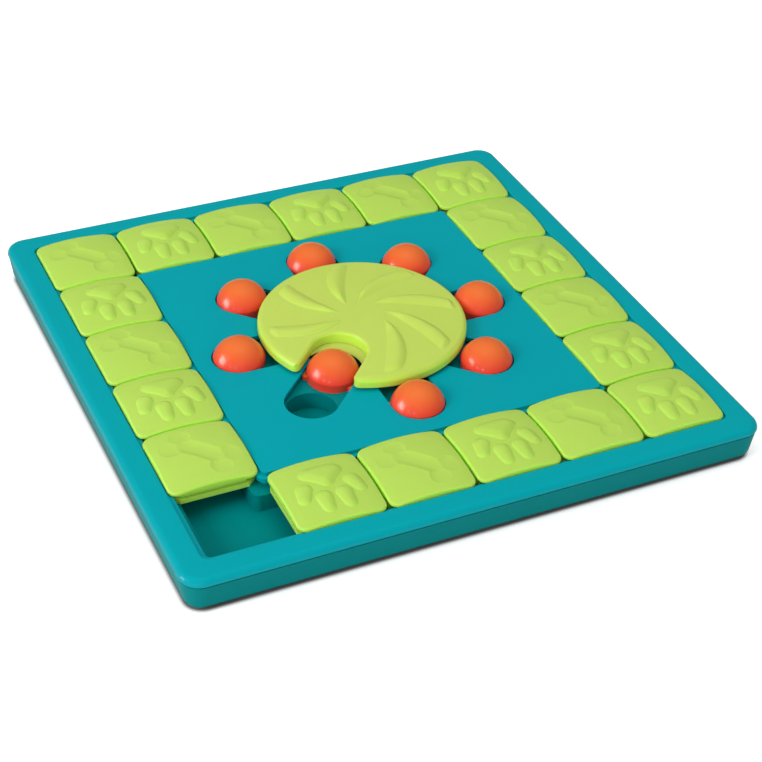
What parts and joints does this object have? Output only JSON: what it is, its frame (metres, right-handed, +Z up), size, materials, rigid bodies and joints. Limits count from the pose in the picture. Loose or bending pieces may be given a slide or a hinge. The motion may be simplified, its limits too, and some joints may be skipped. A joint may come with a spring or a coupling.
{
  "type": "dog puzzle feeder",
  "caption": "Square treat puzzle board for dogs with sliding tiles in a ring, sliding knobs over wells and a notched turning wheel.",
  "frame": {"origin": "on the table under the middle of the board", "axes": "+Z up, -Y to the side whose left end is the open cell, +X to the right seen from that side"},
  "size_m": [0.35, 0.35, 0.0352],
  "materials": {
    "rim_plastic": "fine satin",
    "panel_plastic": "fine satin",
    "tray_plastic": "fine satin",
    "tile_plastic": "fine satin",
    "wheel_plastic": "fine satin",
    "knob_plastic": "semi-gloss",
    "steel": "zinc plated",
    "foot_rubber": "matte"
  },
  "bodies": {
    "board": {"base_tray": "tray_plastic", "rim_frame": "rim_plastic", "centre_panel": "panel_plastic", "well_tray": "tray_plastic", "rim_screws": "steel", "panel_screws": "steel", "well_tray_screws": "steel", "rubber_feet": "foot_rubber"},
    "wheel_body": {"wheel": "wheel_plastic", "axle_washer": "steel", "axle_screw": "steel"},
    "knob_body_01": {"knob_01": "knob_plastic"},
    "knob_body_02": {"knob_02": "knob_plastic"},
    "knob_body_03": {"knob_03": "knob_plastic"},
    "knob_body_04": {"knob_04": "knob_plastic"},
    "knob_body_05": {"knob_05": "knob_plastic"},
    "knob_body_06": {"knob_06": "knob_plastic"},
    "knob_body_07": {"knob_07": "knob_plastic"},
    "knob_body_08": {"knob_08": "knob_plastic"},
    "tile_body_01": {"tile_cap_01": "tile_plastic", "tile_runner_01": "tile_plastic"},
    "tile_body_02": {"tile_cap_02": "tile_plastic", "tile_runner_02": "tile_plastic"},
    "tile_body_03": {"tile_cap_03": "tile_plastic", "tile_runner_03": "tile_plastic"},
    "tile_body_04": {"tile_cap_04": "tile_plastic", "tile_runner_04": "tile_plastic"},
    "tile_body_05": {"tile_cap_05": "tile_plastic", "tile_runner_05": "tile_plastic"},
    "tile_body_06": {"tile_cap_06": "tile_plastic", "tile_runner_06": "tile_plastic"},
    "tile_body_07": {"tile_cap_07": "tile_plastic", "tile_runner_07": "tile_plastic"},
    "tile_body_08": {"tile_cap_08": "tile_plastic", "tile_runner_08": "tile_plastic"},
    "tile_body_09": {"tile_cap_09": "tile_plastic", "tile_runner_09": "tile_plastic"},
    "tile_body_10": {"tile_cap_10": "tile_plastic", "tile_runner_10": "tile_plastic"},
    "tile_body_11": {"tile_cap_11": "tile_plastic", "tile_runner_11": "tile_plastic"},
    "tile_body_12": {"tile_cap_12": "tile_plastic", "tile_runner_12": "tile_plastic"},
    "tile_body_13": {"tile_cap_13": "tile_plastic", "tile_runner_13": "tile_plastic"},
    "tile_body_14": {"tile_cap_14": "tile_plastic", "tile_runner_14": "tile_plastic"},
    "tile_body_15": {"tile_cap_15": "tile_plastic", "tile_runner_15": "tile_plastic"},
    "tile_body_16": {"tile_cap_16": "tile_plastic", "tile_runner_16": "tile_plastic"},
    "tile_body_17": {"tile_cap_17": "tile_plastic", "tile_runner_17": "tile_plastic"},
    "tile_body_18": {"tile_cap_18": "tile_plastic", "tile_runner_18": "tile_plastic"},
    "tile_body_19": {"tile_cap_19": "tile_plastic", "tile_runner_19": "tile_plastic"}
  },
  "joints": [
    {"name": "wheel_turn", "type": "hinge", "parent": "board", "child": "wheel_body", "pos_m": [0, 0, 0.0187], "axis": [0, 0, 1], "range_deg": [-1.3, 1.3]},
    {"name": "knob_06_slide", "type": "slide", "parent": "board", "child": "knob_body_06", "axis": [-0.7071, -0.7071, 0], "range_m": [-0.0005, 0.0331]},
    {"name": "left_row_slide", "type": "slide", "parent": "board", "child": "tile_body_05", "axis": [0, -1, 0], "range_m": [0, 0.0532]},
    {"name": "front_row_slide", "type": "slide", "parent": "board", "child": "tile_body_15", "axis": [1, 0, 0], "range_m": [-0.0532, 0]},
    {"name": "tile_04_slide", "type": "slide", "parent": "board", "child": "tile_body_04", "axis": [0, -1, 0], "range_m": [0, 0.0532]},
    {"name": "tile_03_slide", "type": "slide", "parent": "board", "child": "tile_body_03", "axis": [0, -1, 0], "range_m": [0, 0.0532]},
    {"name": "tile_02_slide", "type": "slide", "parent": "board", "child": "tile_body_02", "axis": [0, -1, 0], "range_m": [0, 0.0532]},
    {"name": "tile_01_slide", "type": "slide", "parent": "board", "child": "tile_body_01", "axis": [0, -1, 0], "range_m": [0, 0.0532]},
    {"name": "tile_16_slide", "type": "slide", "parent": "board", "child": "tile_body_16", "axis": [1, 0, 0], "range_m": [-0.0532, 0]},
    {"name": "tile_17_slide", "type": "slide", "parent": "board", "child": "tile_body_17", "axis": [1, 0, 0], "range_m": [-0.0532, 0]},
    {"name": "tile_18_slide", "type": "slide", "parent": "board", "child": "tile_body_18", "axis": [1, 0, 0], "range_m": [-0.0532, 0]},
    {"name": "tile_19_slide", "type": "slide", "parent": "board", "child": "tile_body_19", "axis": [1, 0, 0], "range_m": [-0.0532, 0]},
    {"name": "knob_01_slide", "type": "slide", "parent": "board", "child": "knob_body_01", "axis": [1, 0, 0], "range_m": [-0.0009, 0.0008]},
    {"name": "knob_02_slide", "type": "slide", "parent": "board", "child": "knob_body_02", "axis": [0.7071, 0.7071, 0], "range_m": [-0.0009, 0.0008]},
    {"name": "knob_03_slide", "type": "slide", "parent": "board", "child": "knob_body_03", "axis": [0, 1, 0], "range_m": [-0.0009, 0.0008]},
    {"name": "knob_04_slide", "type": "slide", "parent": "board", "child": "knob_body_04", "axis": [-0.7071, 0.7071, 0], "range_m": [-0.0009, 0.0008]},
    {"name": "knob_05_slide", "type": "slide", "parent": "board", "child": "knob_body_05", "axis": [-1, 0, 0], "range_m": [-0.0009, 0.0008]},
    {"name": "knob_07_slide", "type": "slide", "parent": "board", "child": "knob_body_07", "axis": [0, -1, 0], "range_m": [-0.0009, 0.0008]},
    {"name": "knob_08_slide", "type": "slide", "parent": "board", "child": "knob_body_08", "axis": [0.7071, -0.7071, 0], "range_m": [-0.0009, 0.0008]},
    {"name": "tile_06_slide", "type": "slide", "parent": "board", "child": "tile_body_06", "axis": [1, 0, 0], "range_m": [-0.00075, 0.00075]},
    {"name": "tile_07_slide", "type": "slide", "parent": "board", "child": "tile_body_07", "axis": [1, 0, 0], "range_m": [-0.00075, 0.00075]},
    {"name": "tile_08_slide", "type": "slide", "parent": "board", "child": "tile_body_08", "axis": [1, 0, 0], "range_m": [-0.00075, 0.00075]},
    {"name": "tile_09_slide", "type": "slide", "parent": "board", "child": "tile_body_09", "axis": [1, 0, 0], "range_m": [-0.00075, 0.00075]},
    {"name": "tile_10_slide", "type": "slide", "parent": "board", "child": "tile_body_10", "axis": [0, -1, 0], "range_m": [-0.00035, 0.00075]},
    {"name": "tile_11_slide", "type": "slide", "parent": "board", "child": "tile_body_11", "axis": [0, -1, 0], "range_m": [-0.00075, 0.00075]},
    {"name": "tile_12_slide", "type": "slide", "parent": "board", "child": "tile_body_12", "axis": [0, -1, 0], "range_m": [-0.00075, 0.00075]},
    {"name": "tile_13_slide", "type": "slide", "parent": "board", "child": "tile_body_13", "axis": [0, -1, 0], "range_m": [-0.00075, 0.00075]},
    {"name": "tile_14_slide", "type": "slide", "parent": "board", "child": "tile_body_14", "axis": [0, -1, 0], "range_m": [-0.00075, 0.00075]}
  ],
  "couplings": [
    {"joint": "tile_04_slide", "follows": "left_row_slide", "ratio": 1},
    {"joint": "tile_03_slide", "follows": "left_row_slide", "ratio": 1},
    {"joint": "tile_02_slide", "follows": "left_row_slide", "ratio": 1},
    {"joint": "tile_01_slide", "follows": "left_row_slide", "ratio": 1},
    {"joint": "tile_16_slide", "follows": "front_row_slide", "ratio": 1},
    {"joint": "tile_17_slide", "follows": "front_row_slide", "ratio": 1},
    {"joint": "tile_18_slide", "follows": "front_row_slide", "ratio": 1},
    {"joint": "tile_19_slide", "follows": "front_row_slide", "ratio": 1}
  ]
}
